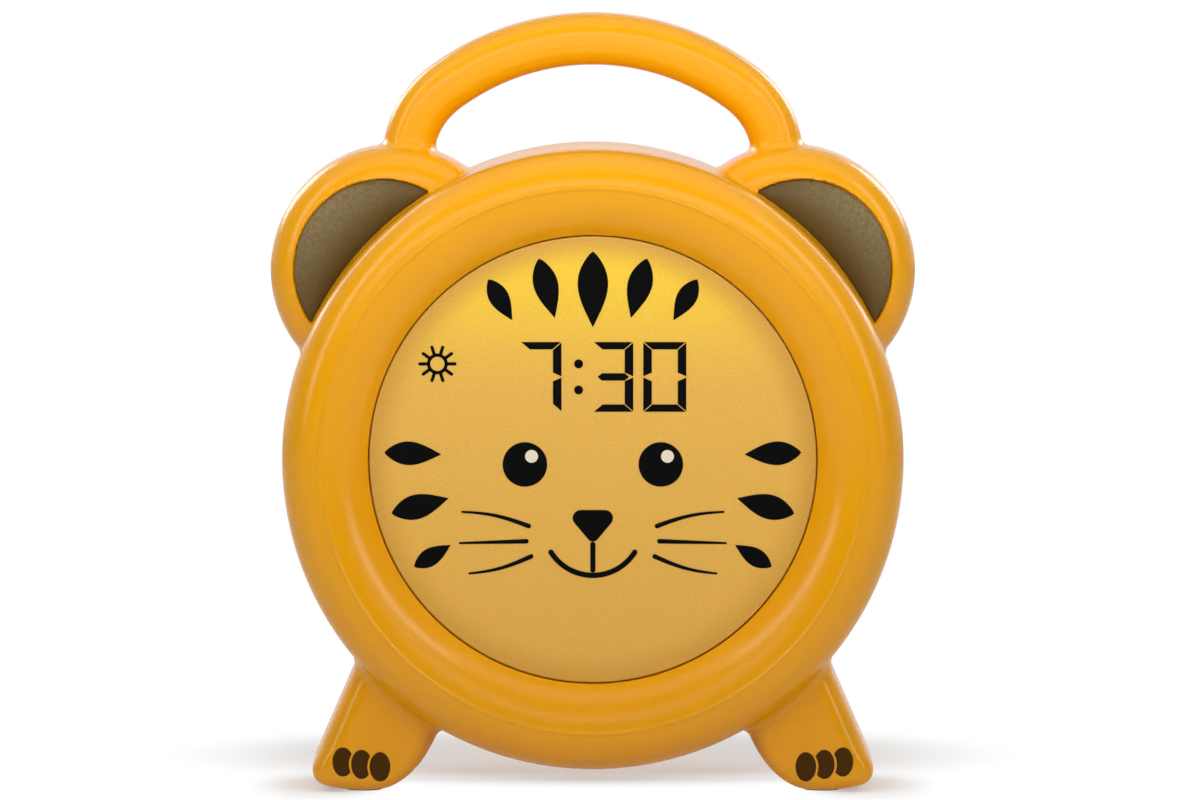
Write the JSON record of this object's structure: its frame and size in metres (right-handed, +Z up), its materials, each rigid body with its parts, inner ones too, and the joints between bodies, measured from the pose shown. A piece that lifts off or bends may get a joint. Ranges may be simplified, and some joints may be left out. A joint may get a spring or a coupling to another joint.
{
  "type": "kids alarm clock with night light",
  "caption": "Round kids' alarm clock and night light with ears, paws and a carrying handle, a lit face behind an amber window, and keys, speaker and battery door at the back.",
  "frame": {"origin": "middle of the footprint, on the table under the clock", "axes": "+Z up from the table to the handle, -Y out of the lit face, +X to the right as seen from the front"},
  "size_m": [0.1362, 0.0594, 0.164],
  "materials": {
    "orange_abs": "moulded glossy",
    "amber_window": "tinted, fine satin grain",
    "brown_inlay": "fine moulded texture",
    "brown_toe": "smooth satin",
    "black_rubber": "matte",
    "white_plastic": "satin",
    "opal_diffuser": "opal",
    "display_glass": "polished",
    "black_plastic": "matte",
    "copper_film": "satin film",
    "lamp_epoxy": "clear tinted",
    "board_green": "solder mask",
    "zinc_steel": "zinc plated",
    "nickel_steel": "nickel plated",
    "ribbon_grey": "satin",
    "speaker_steel": "blackened",
    "paper_cone": "coated paper",
    "foam_gasket": "closed-cell foam",
    "cream_key": "moulded satin",
    "cell_sleeve": "plain printed sleeve"
  },
  "bodies": {
    "clock": {"front_housing": "orange_abs", "rear_housing": "orange_abs", "bezel_ring": "orange_abs", "window_lens": "amber_window", "ear_inlay_left": "brown_inlay", "ear_inlay_right": "brown_inlay", "toe_inlays_left": "brown_toe", "toe_inlays_right": "brown_toe", "foot_pad_left": "black_rubber", "foot_pad_right": "black_rubber", "light_tray": "white_plastic", "diffuser": "opal_diffuser", "lcd_panel": "display_glass", "lcd_frame": "black_plastic", "lcd_ribbon": "copper_film", "leds": "lamp_epoxy", "main_pcb": "board_green", "pcb_components": "black_plastic", "pcb_screws": "zinc_steel", "rear_pcb": "board_green", "rear_pcb_screws": "zinc_steel", "key_switches": "black_plastic", "slide_switch": "nickel_steel", "usb_socket": "nickel_steel", "board_ribbon": "ribbon_grey", "speaker_frame": "speaker_steel", "speaker_cone": "paper_cone", "speaker_gasket": "foam_gasket", "battery_cells": "cell_sleeve", "battery_contacts": "nickel_steel", "battery_springs": "nickel_steel", "housing_screws": "zinc_steel"},
    "alarm_switch_body": {"alarm_switch": "cream_key"},
    "battery_door_body": {"battery_door": "orange_abs", "battery_door_screw": "zinc_steel"},
    "light_key": {"light_button": "cream_key", "light_plunger": "white_plastic"},
    "volume_key": {"volume_button": "cream_key", "volume_plunger": "white_plastic"},
    "set_key": {"set_button": "cream_key", "set_plunger": "white_plastic"},
    "alarm_key": {"alarm_button": "cream_key", "alarm_plunger": "white_plastic"},
    "snooze_key": {"snooze_button": "cream_key", "snooze_plunger": "white_plastic"}
  },
  "joints": [
    {"name": "light_press", "type": "slide", "parent": "clock", "child": "light_key", "axis": [0, -1, 0], "range_m": [0, 0.0008], "stiffness_N_per_m": 600, "springref_m": -0.0005},
    {"name": "volume_press", "type": "slide", "parent": "clock", "child": "volume_key", "axis": [0, -1, 0], "range_m": [0, 0.0008], "stiffness_N_per_m": 600, "springref_m": -0.0005},
    {"name": "set_press", "type": "slide", "parent": "clock", "child": "set_key", "axis": [0, -1, 0], "range_m": [0, 0.0008], "stiffness_N_per_m": 600, "springref_m": -0.0005},
    {"name": "alarm_press", "type": "slide", "parent": "clock", "child": "alarm_key", "axis": [0, -1, 0], "range_m": [0, 0.0008], "stiffness_N_per_m": 600, "springref_m": -0.0005},
    {"name": "snooze_press", "type": "slide", "parent": "clock", "child": "snooze_key", "axis": [0, -1, 0], "range_m": [0, 0.0008], "stiffness_N_per_m": 600, "springref_m": -0.0005},
    {"name": "alarm_switch_slide", "type": "slide", "parent": "clock", "child": "alarm_switch_body", "axis": [0, 0, 1], "range_m": [0, 0.004]},
    {"name": "battery_door_lift", "type": "slide", "parent": "clock", "child": "battery_door_body", "axis": [0, 1, 0], "range_m": [0, 0.03]}
  ]
}
